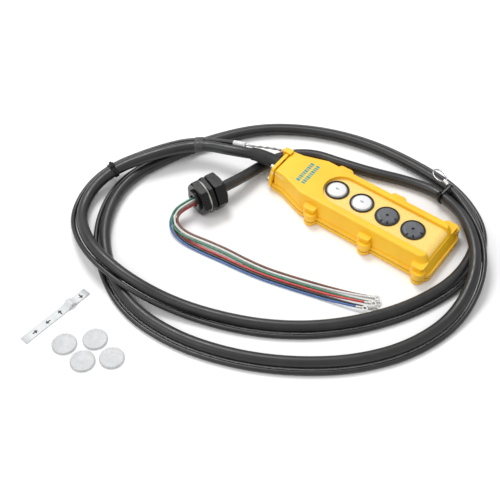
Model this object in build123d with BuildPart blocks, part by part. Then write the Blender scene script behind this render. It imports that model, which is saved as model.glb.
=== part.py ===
from build123d import *
import math
import os

# Four-button pendant control station with its cable, cable gland and loose
# legend parts.  Millimetres, +Z up.  The origin is the middle of the back
# cover's outer face; +X runs from the cable entry towards the last button,
# and the buttons face +Z.  The cable lies on the plane z = 0.

# ---------------------------------------------------------------- dimensions
case_x0 = -98.0            # cable-entry end face of the case
case_x1 = 97.0             # far end face of the case
half_w = 33.4              # half width of the case at its joint
neck_half_w = 21.5         # half width at the cable entry
joint_z = 6.0              # face of the front case on its gasket
cover_t = 5.0              # back cover thickness
lip_t = 3.2                # flange lip round the front case
crest_z = 27.0             # top of the rails and of the head
floor_z = 23.6             # button floor
inner_top = 20.6           # underside of the button floor
button_x = [-31.0, -1.0, 29.0, 59.0]
cap_r = 11.0
travel = 4.0
ring_r = 12.7
ring_bore_r = 11.3
ring_neck_r = 12.0
case_hole_r = 12.1
lobe_x = [-40.0, 25.0, 87.0]
lobe_y = 34.0
lobe_r = 6.6
lobe_top_z = 19.5
entry_z = 17.3
plate_hole_r = 8.8
block_top = 13.0
block_x = [-16.0, 44.0]
cable_r = 5.9
jacket_r = 2.5             # strain wire jacket
rope_r = 1.2
core_r = 1.15
gland_z = 17.5
gland_mouth = (-131.5, -63.5, gland_z)
gland_dir = (-0.357, -0.9341, 0.0)
gland_af = 34.8            # dome nut and body, across flats
locknut_af = 33.0
thread_r = 11.6            # gland entry thread

os.makedirs("parts", exist_ok=True)


def save(part, name):
    part.label = name
    export_step(part, "parts/" + name + ".step")


# ------------------------------------------------------------------- routes
# The cable from inside the case to the gland.
cable_route = [
    (-88.0, 0.0, 14.5), (-119.0, -1.5, 21.5), (-147.0, -20.0, 27.0),
    (-187.0, -29.0, 20.6), (-215.0, -66.0, 21.4), (-246.0, -119.0, 14.4),
    (-237.0, -169.0, 6.0), (-192.0, -202.0, 18.8), (-137.0, -212.0, 18.8),
    (-81.0, -201.5, 6.0), (-16.7, -180.3, 6.0), (32.9, -150.5, 6.0),
    (72.9, -110.8, 6.0), (103.9, -62.4, 6.0), (121.5, -8.0, 6.0),
    (111.8, 50.0, 6.0), (64.1, 85.9, 6.0), (7.8, 93.2, 6.0),
    (-49.6, 91.2, 6.0), (-103.7, 75.5, 6.0), (-153.6, 44.7, 6.0),
    (-187.1, -0.6, 6.0), (-210.8, -52.5, 6.0), (-227.2, -107.7, 6.0),
    (-207.9, -163.2, 6.0), (-167.8, -203.8, 6.0), (-115.9, -229.6, 6.0),
    (-58.6, -230.6, 6.0), (-3.3, -215.2, 6.0), (46.8, -189.0, 6.0),
    (91.9, -152.6, 6.0), (124.9, -106.9, 6.0), (141.0, -51.0, 6.0),
    (131.8, 3.5, 18.8), (96.4, 47.8, 18.8), (52.0, 73.5, 8.0),
    (14.0, 69.5, 6.0), (-22.0, 57.5, 6.0), (-60.0, 48.5, 6.0),
    (-87.4, 43.4, 6.0), (-109.4, 27.0, 6.0), (-122.1, 2.8, 6.0),
    (-125.0, -46.5, 17.5), (-139.35, -84.05, 17.5)]

# The six conductors from the jacket's end to their terminals.
core_routes = {
    "blue": [(-142.6, -84.1, 16.0), (-152.5, -106.7, 14.0),
        (-154.4, -119.9, 8.6), (-146.7, -131.0, 4.6), (-128.8, -136.1, 2.2),
        (-106.1, -134.6, 1.4), (-83.0, -131.4, 1.4), (-59.8, -128.9, 1.4),
        (-36.3, -125.4, 1.4), (-13.3, -119.7, 1.4), (9.4, -113.7, 1.4),
        (32.0, -107.4, 2.0), (54.8, -100.5, 4.2), (57.6, -99.4, 4.3)],
    "brown": [(-137.2, -86.7, 19.0), (-146.7, -108.3, 17.0),
        (-147.3, -118.0, 11.6), (-141.8, -123.4, 7.6), (-128.1, -124.3, 5.2),
        (-107.9, -120.0, 4.4), (-84.8, -116.8, 4.4), (-61.6, -114.3, 2.4),
        (-39.2, -110.9, 1.4), (-17.1, -105.4, 1.4), (5.1, -99.0, 1.4),
        (27.2, -92.3, 1.4), (48.7, -85.1, 1.4), (59.0, -80.4, 1.4)],
    "red": [(-137.2, -86.7, 16.0), (-146.7, -108.3, 14.0),
        (-148.2, -118.3, 8.6), (-143.3, -125.8, 4.6), (-128.4, -130.2, 2.2),
        (-106.8, -128.7, 1.4), (-83.8, -125.6, 1.4), (-60.5, -123.1, 1.4),
        (-37.5, -119.6, 1.4), (-14.8, -114.0, 1.4), (7.7, -107.8, 1.4),
        (30.0, -101.2, 2.0), (52.3, -94.1, 4.2), (61.5, -90.3, 4.6)],
    "white": [(-139.9, -85.4, 19.0), (-149.6, -107.5, 17.0),
        (-150.4, -118.8, 11.6), (-143.5, -126.0, 7.6), (-128.3, -127.3, 5.2),
        (-107.5, -122.9, 4.4), (-84.5, -119.7, 4.4), (-61.3, -117.2, 2.4),
        (-38.6, -113.8, 1.4), (-16.4, -108.3, 1.4), (5.9, -101.9, 1.4),
        (28.1, -95.2, 2.0), (49.9, -88.0, 4.2), (61.3, -82.9, 4.8)],
    "black": [(-139.9, -85.4, 16.0), (-149.6, -107.5, 14.0),
        (-151.3, -119.1, 8.6), (-145.0, -128.4, 4.6), (-128.6, -133.1, 2.2),
        (-106.4, -131.7, 1.4), (-83.4, -128.5, 1.4), (-60.1, -126.0, 1.4),
        (-36.9, -122.5, 1.4), (-14.1, -116.8, 1.4), (8.5, -110.7, 1.4),
        (31.0, -104.2, 1.4), (53.4, -97.1, 1.4), (66.6, -91.6, 1.4)],
    "green": [(-142.6, -84.1, 19.0), (-152.5, -106.7, 17.0),
        (-153.5, -119.7, 11.6), (-145.2, -128.7, 7.6), (-128.5, -130.3, 5.2),
        (-107.2, -125.8, 4.4), (-84.1, -122.6, 4.4), (-60.9, -120.2, 2.4),
        (-38.0, -116.7, 1.4), (-15.6, -111.1, 1.4), (6.8, -104.8, 1.4),
        (29.1, -98.2, 1.4), (51.0, -91.0, 1.4), (63.7, -85.4, 1.4)],
}


def corner_radii(points):
    """0.45 of the shorter run over the tangent of half the turn."""
    out = []
    for i in range(1, len(points) - 1):
        a = Vector(*points[i]) - Vector(*points[i - 1])
        b = Vector(*points[i + 1]) - Vector(*points[i])
        half = math.radians(a.get_angle(b)) / 2.0
        out.append(0.45 * min(a.length, b.length) / math.tan(half))
    return out


def tube(points, radius, name):
    """A round cord of straight runs joined by tangent arcs."""
    radii = corner_radii(points)
    with BuildPart() as cord:
        with BuildLine() as path:
            FilletPolyline(*points, radius=radii)
        line = path.wires()[0]
        with BuildSketch(Plane(origin=line @ 0, z_dir=line % 0)):
            Circle(radius)
        sweep(path=line)
    expect = math.pi * radius ** 2 * line.length
    print(name, "length", round(line.length, 1),
          "volume ratio", round(cord.part.volume / expect, 5),
          "least radius", round(min(radii), 1), "radii",
          [round(r) for r in radii])
    return cord.part


def offset_route(points, side, rise):
    """The route moved sideways (right of travel positive) and up."""
    out = []
    n = len(points)
    for i in range(n):
        p, q = points[max(i - 1, 0)], points[min(i + 1, n - 1)]
        c = points[i]
        a = (c[0] - p[0], c[1] - p[1]) if i else (q[0] - c[0], q[1] - c[1])
        b = (q[0] - c[0], q[1] - c[1]) if i < n - 1 else a
        la, lb = math.hypot(*a), math.hypot(*b)
        m = (a[0] / la + b[0] / lb, a[1] / la + b[1] / lb)
        lm = math.hypot(*m)
        m = (m[0] / lm, m[1] / lm)
        k = side[i] / (m[0] * a[0] / la + m[1] * a[1] / la)
        out.append((c[0] + m[1] * k, c[1] - m[0] * k, c[2] + rise[i]))
    return out


def nearest(line, target):
    """Point and direction of the line closest to a target."""
    best = min(range(2001), key=lambda i: ((line @ (i / 2000.0)) - target).length)
    return line @ (best / 2000.0), line % (best / 2000.0)


# --------------------------------------------------------------- case outline
def plan_face(height, inset=0.0, radius=7.0, lobes=False):
    """Plan outline of the case, moved in by inset."""
    i = inset
    hw, nw = half_w - i, neck_half_w - i
    x0, xe = case_x0 + i, case_x1 - i
    with BuildSketch(Plane.XY.offset(height)) as face:
        with BuildLine():
            Polyline((x0, -nw), (-86.0, -nw - 1.2), (-55.0, -hw), (xe, -hw),
                     (xe, hw), (-55.0, hw), (-86.0, nw + 1.2), (x0, nw),
                     close=True)
        make_face()
        fillet(face.vertices().sort_by(Axis.X)[-2:], radius)
        if lobes:
            with Locations(*[(x, s * lobe_y) for x in lobe_x for s in (-1, 1)]):
                Circle(lobe_r - i)
    return face.sketch


def top_face(height, inset=0.0, x_end=86.0, radius=7.0):
    """Outline of the case at its rails and head."""
    i = inset
    x0, xe = case_x0 + 0.8 + i, x_end - i
    with BuildSketch(Plane.XY.offset(height)) as face:
        with BuildLine():
            Polyline((x0, -17.0 + i), (-85.0, -18.5 + i), (-60.0, -27.0 + i),
                     (xe, -27.0 + i), (xe, 27.0 - i), (-60.0, 27.0 - i),
                     (-85.0, 18.5 - i), (x0, 17.0 - i), close=True)
        make_face()
        fillet(face.vertices().sort_by(Axis.X)[-2:], radius)
    return face.sketch


lobe_spots = [(x, s * lobe_y) for x in lobe_x for s in (-1, 1)]
post_spots = [(x, s * 12.5) for x in block_x for s in (-1, 1)]

# ----------------------------------------------------------------- front case
with BuildPart() as front_case:
    add(extrude(plan_face(joint_z), amount=lip_t, mode=Mode.PRIVATE))
    add(loft([plan_face(joint_z + lip_t - 0.2, 1.7), top_face(crest_z)],
             mode=Mode.PRIVATE))
    # soften the crest all round
    fillet(front_case.faces().sort_by(Axis.Z)[-1].outer_wire().edges(), 2.2)
    # screw lobes down both sides
    with Locations(*[(x, y, joint_z) for x, y in lobe_spots]):
        Cylinder(lobe_r, lobe_top_z - joint_z - 5.0,
                 align=(Align.CENTER, Align.CENTER, Align.MIN))
    # a higher shelf behind each boss, set back towards the cable entry
    with BuildSketch(Plane.XY.offset(joint_z)) as shelves:
        with Locations(*[(x - 2.6, math.copysign(28.5, y))
                         for x, y in lobe_spots]):
            Rectangle(14.0, 15.0)
        fillet(shelves.vertices(), 3.4)
    extrude(amount=lobe_top_z - joint_z)
    # cavity for the contact blocks, with a higher roof in the head
    add(loft([plan_face(joint_z - 0.01, 3.6, 5.0),
              top_face(inner_top, 1.6, 86.0, 5.0)], mode=Mode.PRIVATE),
        mode=Mode.SUBTRACT)
    with BuildSketch(Plane.XY.offset(inner_top - 1.0)):
        with BuildLine():
            Polyline((-94.5, -14.5), (-85.0, -15.5), (-60.0, -23.0),
                     (-50.0, -23.0), (-50.0, 23.0), (-60.0, 23.0),
                     (-85.0, 15.5), (-94.5, 14.5), close=True)
        make_face()
    extrude(amount=24.0 - inner_top + 1.0, mode=Mode.SUBTRACT)
    # posts that carry the contact blocks
    with Locations(*[(x, y, block_top + 0.05) for x, y in post_spots]):
        Cylinder(3.0, inner_top - block_top + 0.5,
                 align=(Align.CENTER, Align.CENTER, Align.MIN))
    with Locations(*[(x, y, block_top) for x, y in post_spots]):
        Cylinder(1.3, 6.5, align=(Align.CENTER, Align.CENTER, Align.MIN),
                 mode=Mode.SUBTRACT)
    # sunk button panel: arched at the head, open at the far end
    with BuildSketch(Plane.XY.offset(floor_z)):
        with BuildLine():
            Polyline((100.0, -19.8), (-25.0, -19.8))
            ThreePointArc((-25.0, -19.8), (-44.8, 0.0), (-25.0, 19.8))
            Polyline((-25.0, 19.8), (100.0, 19.8), (100.0, -19.8))
        make_face()
    extrude(amount=8.0, mode=Mode.SUBTRACT)
    # the panel rolls down into the end wall
    with BuildSketch(Plane.XZ):
        with BuildLine():
            ThreePointArc((79.0, floor_z), (85.6, 22.5), (90.0, 18.2))
            Polyline((90.0, 18.2), (101.0, 18.2), (101.0, 29.0), (79.0, 29.0),
                     (79.0, floor_z))
        make_face()
    extrude(amount=19.8, both=True, mode=Mode.SUBTRACT)
    # button, screw and cable holes
    with Locations(*[(x, 0.0, floor_z) for x in button_x]):
        Cylinder(case_hole_r, 12.0, mode=Mode.SUBTRACT)
    with Locations(*[(x, y, joint_z) for x, y in lobe_spots]):
        Cylinder(1.65, 9.4, align=(Align.CENTER, Align.CENTER, Align.MIN),
                 mode=Mode.SUBTRACT)
    with BuildSketch(Plane(origin=(case_x0 - 1.0, -0.4, entry_z - 0.9),
                           x_dir=(0, 1, 0), z_dir=(1, 0, 0))):
        Circle(7.1)
    extrude(amount=8.0, mode=Mode.SUBTRACT)
save(front_case.part, "front_case")

# ----------------------------------------------------------------- back cover
with BuildPart() as back_cover:
    add(extrude(plan_face(0.9, 0.0, 7.0, True), amount=cover_t - 0.9,
                mode=Mode.PRIVATE))
    # stepped-in foot round the back
    add(extrude(plan_face(0.0, 0.8, 6.5, True), amount=0.9,
                mode=Mode.PRIVATE))
    # shallow inside relief
    add(extrude(plan_face(2.4, 6.0, 3.0), amount=4.0, mode=Mode.PRIVATE),
        mode=Mode.SUBTRACT)
    with Locations(*[(x, y, 0.0) for x, y in lobe_spots]):
        Cylinder(1.75, 20.0, mode=Mode.SUBTRACT)
        Cylinder(3.3, 2 * 3.0, mode=Mode.SUBTRACT)
save(back_cover.part, "back_cover")

with BuildPart() as case_gasket:
    add(extrude(plan_face(cover_t, 0.5, 6.5, True), amount=joint_z - cover_t,
                mode=Mode.PRIVATE))
    add(extrude(plan_face(cover_t, 3.6, 5.0), amount=joint_z - cover_t,
                mode=Mode.PRIVATE), mode=Mode.SUBTRACT)
    with Locations(*[(x, y, cover_t) for x, y in lobe_spots]):
        Cylinder(1.75, 6.0, mode=Mode.SUBTRACT)
save(case_gasket.part, "case_gasket")

with BuildPart() as cover_screws:
    with Locations(*[(x, y, 0.3) for x, y in lobe_spots]):
        Cylinder(3.1, 2.7, align=(Align.CENTER, Align.CENTER, Align.MIN))
        Cylinder(1.6, 13.8, align=(Align.CENTER, Align.CENTER, Align.MIN))
        Box(5.2, 0.9, 2.0, mode=Mode.SUBTRACT)
        Box(0.9, 5.2, 2.0, mode=Mode.SUBTRACT)
save(cover_screws.part, "cover_screws")

# ---------------------------------------------------------------- cable entry
plate_plane = Plane(origin=(case_x0 - 0.02, 0.0, 0.0), x_dir=(0, -1, 0),
                    z_dir=(-1, 0, 0))
plate_screws = [(18.4, 10.0), (-18.4, 10.0), (12.4, 23.6)]
anchor_y, anchor_z = 12.2, 26.4
with BuildPart() as entry_clamp_plate:
    with BuildSketch(plate_plane) as plate_sketch:
        with BuildLine():
            Polyline((-23.0, 3.4), (23.0, 3.4), (23.0, 15.0), (16.5, 27.6),
                     (-16.5, 27.6), (-23.0, 15.0), close=True)
        make_face()
        fillet(plate_sketch.vertices(), 3.0)
        with Locations((0.6, entry_z)):
            Circle(plate_hole_r, mode=Mode.SUBTRACT)
        with Locations(*plate_screws):
            Circle(1.7, mode=Mode.SUBTRACT)
        with Locations((-anchor_y, anchor_z - 2.6)):
            Circle(1.5, mode=Mode.SUBTRACT)
    extrude(amount=4.0)
    chamfer(entry_clamp_plate.faces().sort_by(Axis.X)[0].outer_wire().edges(),
            0.8)
save(entry_clamp_plate.part, "entry_clamp_plate")

with BuildPart() as entry_clamp_screws:
    with BuildSketch(plate_plane.offset(4.0)):
        with Locations(*plate_screws):
            Circle(3.0)
    extrude(amount=3.2)
    chamfer(entry_clamp_screws.faces().sort_by(Axis.X)[:3].edges(), 0.6)
    with BuildSketch(plate_plane.offset(7.2)):
        with Locations(*plate_screws):
            Rectangle(4.0, 0.8)
            Rectangle(0.8, 4.0)
    extrude(amount=-1.1, mode=Mode.SUBTRACT)
    with BuildSketch(plate_plane.offset(0.05)):
        with Locations(*plate_screws):
            Circle(1.5)
    extrude(amount=3.95)
save(entry_clamp_screws.part, "entry_clamp_screws")

with BuildPart() as wire_anchor_lug:
    with BuildSketch(plate_plane.offset(4.05)) as lug_sketch:
        with BuildLine():
            Polyline((-15.8, 21.4), (-8.8, 21.4), (-8.8, 29.6), (-15.8, 29.6),
                     close=True)
        make_face()
        fillet(lug_sketch.vertices(), 1.5)
        with Locations((-anchor_y, anchor_z - 2.6)):
            Circle(1.5, mode=Mode.SUBTRACT)
    extrude(amount=3.4)
    # hook over the plate and the top of the case
    with Locations((-99.2, anchor_y, 28.75)):
        Box(6.6, 6.6, 1.7)
save(wire_anchor_lug.part, "wire_anchor_lug")

with BuildPart() as wire_anchor_screw:
    with BuildSketch(plate_plane.offset(7.5)):
        with Locations((-anchor_y, anchor_z - 2.6)):
            Circle(2.9)
    extrude(amount=3.0)
    chamfer(wire_anchor_screw.faces().sort_by(Axis.X)[0].edges(), 0.5)
    with BuildSketch(plate_plane.offset(10.5)):
        with Locations((-anchor_y, anchor_z - 2.6)):
            Rectangle(4.2, 0.8)
    extrude(amount=-1.0, mode=Mode.SUBTRACT)
    with BuildSketch(plate_plane.offset(0.1)):
        with Locations((-anchor_y, anchor_z - 2.6)):
            Circle(1.45)
    extrude(amount=7.4)
save(wire_anchor_screw.part, "wire_anchor_screw")

# -------------------------------------------------------------------- buttons
for i, x in enumerate(button_x):
    n = str(i + 1)
    with BuildPart() as cap:
        with BuildSketch(Plane(origin=(x, 0, 0), x_dir=(1, 0, 0),
                               z_dir=(0, -1, 0))):
            with BuildLine():
                Polyline((0.0, 26.3), (7.6, 26.3), (9.7, 25.7),
                         (cap_r, 24.5), (cap_r, 18.6), (9.6, 18.6),
                         (9.6, 23.4), (0.0, 23.4), close=True)
            make_face()
        revolve(axis=Axis((x, 0, 0), (0, 0, 1)))
        with Locations((x, 0.0, 26.3)):
            Cylinder(0.9, 1.6, mode=Mode.SUBTRACT)
    save(cap.part, "button_cap_" + n)

    with BuildPart() as plunger:
        with Locations((x, 0.0, 9.6)):
            Cylinder(2.95, 13.8, align=(Align.CENTER, Align.CENTER, Align.MIN))
        chamfer(plunger.edges().sort_by(Axis.Z)[0], 0.5)
    save(plunger.part, "button_plunger_" + n)

    with BuildPart() as spring:
        with BuildLine() as coil:
            Helix(pitch=1.72, height=8.6, radius=6.2,
                  center=(x, 0.0, block_top + 0.7))
        turn = coil.wires()[0]
        with BuildSketch(Plane(origin=turn @ 0, z_dir=turn % 0)):
            Circle(0.5)
        sweep(path=turn, is_frenet=True)
    save(spring.part, "return_spring_" + n)

    with BuildPart() as bridge:
        with Locations((x, 0.0, 10.0)):
            Box(8.0, 18.0, 0.8, align=(Align.CENTER, Align.CENTER, Align.MIN))
            Cylinder(2.95, 4.0, mode=Mode.SUBTRACT)
        with Locations(*[(x, s * 7.6, 10.0) for s in (-1, 1)]):
            Cylinder(1.5, 0.5, align=(Align.CENTER, Align.CENTER, Align.MAX))
    save(bridge.part, "moving_contact_" + n)

with BuildPart() as guard_rings:
    with Locations(*[(x, 0.0, floor_z) for x in button_x]):
        Cylinder(ring_r, 1.5, align=(Align.CENTER, Align.CENTER, Align.MIN))
    chamfer(guard_rings.edges().group_by(Axis.Z)[-1], 0.5)
    with Locations(*[(x, 0.0, 17.6) for x in button_x]):
        Cylinder(ring_neck_r, 6.1, align=(Align.CENTER, Align.CENTER, Align.MIN))
    with Locations(*[(x, 0.0, 21.0) for x in button_x]):
        Cylinder(ring_bore_r, 20.0, mode=Mode.SUBTRACT)
save(guard_rings.part, "guard_rings")

with BuildPart() as button_seals:
    with Locations(*[(x, 0.0, 19.9) for x in button_x]):
        Cylinder(14.0, 0.7, align=(Align.CENTER, Align.CENTER, Align.MIN))
        Cylinder(12.05, 4.0, mode=Mode.SUBTRACT)
save(button_seals.part, "button_seals")

with BuildPart() as ring_nuts:
    with BuildSketch(Plane.XY.offset(17.9)):
        with Locations(*[(x, 0.0) for x in button_x]):
            RegularPolygon(13.9, 12, major_radius=False)
            Circle(12.05, mode=Mode.SUBTRACT)
    extrude(amount=2.0)
save(ring_nuts.part, "ring_nuts")

# ------------------------------------------------------------- contact blocks
for tag, xc in zip(("a", "b"), block_x):
    with BuildPart() as block:
        with Locations((xc, 0.0, 5.3)):
            Box(59.4, 32.0, block_top - 5.3,
                align=(Align.CENTER, Align.CENTER, Align.MIN))
        chamfer(block.edges().filter_by(Axis.Z), 1.5)
        with Locations(*[(xc + s * 15.0, 0.0, 5.3) for s in (-1, 1)]):
            Box(23.0, 26.0, 5.7, align=(Align.CENTER, Align.CENTER, Align.MIN),
                mode=Mode.SUBTRACT)
            Cylinder(3.03, 30.0, mode=Mode.SUBTRACT)
        with Locations(*[(xc, s * 12.5, 5.3) for s in (-1, 1)]):
            Cylinder(2.6, 4.6, align=(Align.CENTER, Align.CENTER, Align.MIN),
                     mode=Mode.SUBTRACT)
            Cylinder(1.3, 30.0, mode=Mode.SUBTRACT)
    save(block.part, "contact_block_" + tag)

with BuildPart() as block_screws:
    with Locations(*[(x, y, 8.1) for x, y in post_spots]):
        Cylinder(2.4, 1.75, align=(Align.CENTER, Align.CENTER, Align.MIN))
        Cylinder(1.25, 10.5, align=(Align.CENTER, Align.CENTER, Align.MIN))
        Box(4.0, 0.7, 1.4, mode=Mode.SUBTRACT)
save(block_screws.part, "block_screws")

with BuildPart() as fixed_contacts:
    with Locations(*[(x, s * 11.25, 4.85) for x in button_x for s in (-1, 1)]):
        Box(8.0, 8.5, 0.43, align=(Align.CENTER, Align.CENTER, Align.MIN))
save(fixed_contacts.part, "fixed_contacts")

with BuildPart() as terminal_screws:
    with Locations(*[(x, s * 14.4, block_top) for x in button_x
                     for s in (-1, 1)]):
        Cylinder(1.4, 1.2, align=(Align.CENTER, Align.CENTER, Align.MIN))
        Box(0.5, 2.2, 2.0, mode=Mode.SUBTRACT)
save(terminal_screws.part, "terminal_screws")

# conductors inside the case, from the jacket's end to the first block
lead_y = [-3.4, 0.0, 3.4, -3.4, 0.0, 3.4]
lead_z = [16.2, 16.2, 16.2, 12.8, 12.8, 12.8]
lead_end_y = [-8.4, 0.0, 8.4, -12.6, -4.2, 4.2]
lead_tubes = []
for i in range(6):
    lead_tubes.append(tube(
        [(-86.6, lead_y[i], lead_z[i]), (-77.0, lead_y[i] * 1.2, lead_z[i]),
         (-63.0, lead_end_y[i], 9.6 if i < 3 else 8.6),
         (-46.0, lead_end_y[i], 9.2 if i < 3 else 8.2)],
        1.0, "inner_lead"))
with BuildPart() as inner_leads:
    for lead in lead_tubes:
        add(lead)
save(inner_leads.part, "inner_leads")

# ----------------------------------------------------------------- main cable
pendant_cable = tube(cable_route, cable_r, "pendant_cable")
save(pendant_cable, "pendant_cable")
with BuildLine() as cable_path:
    FilletPolyline(*cable_route, radius=corner_radii(cable_route))
cable_line = cable_path.wires()[0]

# boot round the cable where it leaves the plate
boot_line = cable_line.trim(12.6 / cable_line.length, 48.0 / cable_line.length)
with BuildPart() as cable_boot:
    with BuildSketch(Plane(origin=boot_line @ 0, z_dir=boot_line % 0)):
        Circle(8.0)
    with BuildSketch(Plane(origin=boot_line @ 1, z_dir=boot_line % 1)):
        Circle(6.9)
    sweep(path=boot_line, multisection=True)
boot_core = cable_line.trim(9.0 / cable_line.length, 52.0 / cable_line.length)
with BuildPart(mode=Mode.PRIVATE) as boot_bore:
    with BuildSketch(Plane(origin=boot_core @ 0, z_dir=boot_core % 0)):
        Circle(cable_r + 0.05)
    sweep(path=boot_core)
with cable_boot:
    add(boot_bore.part, mode=Mode.SUBTRACT)
print("cable_boot volume", round(cable_boot.part.volume, 1))
save(cable_boot.part, "cable_boot")

# --------------------------------------------------------------- strain wire
# The jacketed strain wire runs beside the cable on the outside of the loops.
n_r = len(cable_route)
first, last = 2, 35
side = [9.2] * n_r
rise = [-3.4] * n_r
side[2], rise[2] = 8.9, 2.4
side[3], rise[3] = 9.2, 0.6
side[4], rise[4] = 9.2, -1.0
rise[7], rise[8], rise[9] = -1.6, -0.8, -1.4
side[33], rise[33] = 9.2, -1.4
side[34], rise[34] = 8.9, 1.4
side[35], rise[35] = 7.6, 8.2
wire_points = offset_route(cable_route, side, rise)[first:last + 1]
a, b = Vector(*wire_points[0]), Vector(*wire_points[1])
wire_points[0] = tuple(a + (b - a) * 0.06)
a, b = Vector(*wire_points[-1]), Vector(*wire_points[-2])
wire_points[-1] = tuple(a + (b - a) * 0.02)
wire_points = [(round(p[0], 1), round(p[1], 1), round(p[2], 1))
               for p in wire_points]
print("wire_points", wire_points)
strain_wire_jacket = tube(wire_points, jacket_r, "strain_wire_jacket")
save(strain_wire_jacket, "strain_wire_jacket")
with BuildLine() as wire_path:
    FilletPolyline(*wire_points, radius=corner_radii(wire_points))
wire_line = wire_path.wires()[0]

wire_start = Vector(*wire_points[0])
start_dir = (wire_start - Vector(*wire_points[1])).normalized()
rope_end = Vector(case_x0 - 12.1, anchor_y, anchor_z - 2.6)
print("wire start", wire_start, start_dir, "rope end", rope_end)
ferrule_plane = Plane(origin=wire_start + start_dir * 0.02, z_dir=start_dir)
with BuildPart() as strain_wire_ferrule:
    with BuildSketch(ferrule_plane):
        Circle(1.9)
    extrude(amount=11.0)
save(strain_wire_ferrule.part, "strain_wire_ferrule")

rope_start = wire_start + start_dir * 11.1
rope_route = [tuple(rope_start), tuple(rope_start + start_dir * 8.0),
              (-115.5, 8.0, 27.0), tuple(rope_end)]
strain_wire_rope = tube(rope_route, rope_r, "strain_wire_rope")
save(strain_wire_rope, "strain_wire_rope")

# end loop of the strain wire, with its crimp sleeve
wire_end = Vector(*wire_points[-1])
end_dir = (wire_end - Vector(*wire_points[-2])).normalized()
print("wire end", wire_end, end_dir)
flat_dir = Vector(end_dir.X, end_dir.Y, 0).normalized()
loop_plane = Plane(origin=wire_end + end_dir * 0.05, z_dir=end_dir)
with BuildPart() as strain_wire_loop:
    with BuildSketch(loop_plane):
        Ellipse(2.4, 2.4)
    extrude(amount=8.0)
    with BuildSketch(Plane(origin=wire_end + end_dir * 16.6,
                           x_dir=flat_dir, z_dir=(0, 0, 1))):
        Ellipse(10.0, 6.6)
        Ellipse(8.4, 5.0, mode=Mode.SUBTRACT)
    extrude(amount=0.8, both=True)
save(strain_wire_loop.part, "strain_wire_loop")


# ----------------------------------------------------------------- cable ties
def tie(target, width, gap, name):
    """A strap round the cable and the wire beside it, with its lock."""
    c1, d = nearest(cable_line, Vector(*target))
    c2, d2 = nearest(wire_line, c1)
    side_dir = (c2 - c1 - d * (c2 - c1).dot(d)).normalized()
    pl = Plane(origin=c1, x_dir=side_dir, z_dir=d)
    reach = pl.to_local_coords(c2).X
    with BuildPart() as strap:
        with BuildSketch(pl.offset(-width / 2)):
            Circle(cable_r + gap + 1.2)
            with Locations((reach, 0.0)):
                Circle(jacket_r + gap + 1.2)
            make_hull()
        extrude(amount=width)
        with BuildSketch(pl.offset(-width / 2 - 1)):
            Circle(cable_r + gap)
            with Locations((reach, 0.0)):
                Circle(jacket_r + gap)
            make_hull()
        extrude(amount=width + 2, mode=Mode.SUBTRACT)
        with BuildSketch(pl.offset(-width / 2 - 0.6)):
            with Locations((0.0, -cable_r - gap - 2.4)):
                Rectangle(5.6, 3.6)
        extrude(amount=width + 1.2)
    print(name, "at", c1, "dir", d, "beside", side_dir, "reach", reach)
    save(strap.part, name)


tie((-239.5, -110.0, 12.0), 4.6, 0.7, "cable_tie_left")
tie((57.0, 68.0, 10.0), 4.6, 0.9, "cable_tie_right")
tie((-186.0, -31.0, 20.0), 7.0, 0.9, "cable_tape_band")

# ---------------------------------------------------------------- cable gland
g_plane = Plane(origin=gland_mouth, x_dir=(0, 0, 1), z_dir=gland_dir)


def turned(profile, name=None):
    """A solid of revolution about the gland's axis; (radius, distance)."""
    with BuildPart() as body:
        with BuildSketch(Plane(origin=g_plane.origin, x_dir=g_plane.x_dir,
                               z_dir=-g_plane.y_dir)):
            with BuildLine():
                Polyline(*profile, close=True)
            make_face()
        revolve(axis=Axis(g_plane.origin, g_plane.z_dir))
    return body.part


def hex_cone(af, t0, t1, c0, c1):
    """Turning profile that chamfers a hexagon's corners at each end."""
    rc = af / math.sqrt(3) + 0.3
    return turned([(0.0, t0), (rc - c0, t0), (rc, t0 + c0 * 0.6),
                   (rc, t1 - c1 * 0.6), (rc - c1, t1), (0.0, t1)])


with BuildPart() as gland_dome_nut:
    with BuildSketch(g_plane):
        RegularPolygon(gland_af / 2, 6, major_radius=False, rotation=30)
    extrude(amount=14.2)
    add(hex_cone(gland_af, 0.0, 14.2, 8.0, 1.6), mode=Mode.INTERSECT)
    add(turned([(0.0, -1.0), (6.2, -1.0), (6.2, 3.0), (9.3, 3.0), (9.3, 9.0),
                (12.6, 9.0), (12.6, 17.0), (0.0, 17.0)]), mode=Mode.SUBTRACT)
save(gland_dome_nut.part, "gland_dome_nut")

save(turned([(cable_r + 0.06, 3.1), (9.1, 3.1), (9.1, 12.6),
             (cable_r + 0.06, 13.8)]), "gland_seal")

with BuildPart() as gland_body:
    with BuildSketch(g_plane.offset(16.3)):
        RegularPolygon(gland_af / 2, 6, major_radius=False, rotation=30)
    extrude(amount=4.6)
    add(hex_cone(gland_af, 16.3, 20.9, 1.4, 2.4), mode=Mode.INTERSECT)
    add(turned([(9.3, 9.4), (12.4, 9.4), (12.4, 17.0), (thread_r, 18.0),
                (thread_r, 33.2), (thread_r - 0.8, 34.0), (6.4, 34.0),
                (6.4, 14.2), (9.3, 13.4)]))
    add(turned([(0.0, 13.0), (6.4, 13.0), (6.4, 35.0), (0.0, 35.0)]),
        mode=Mode.SUBTRACT)
save(gland_body.part, "gland_body")

save(turned([(thread_r + 0.1, 20.95), (17.0, 20.95), (17.0, 22.4),
             (thread_r + 0.1, 22.4)]), "gland_washer")

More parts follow.
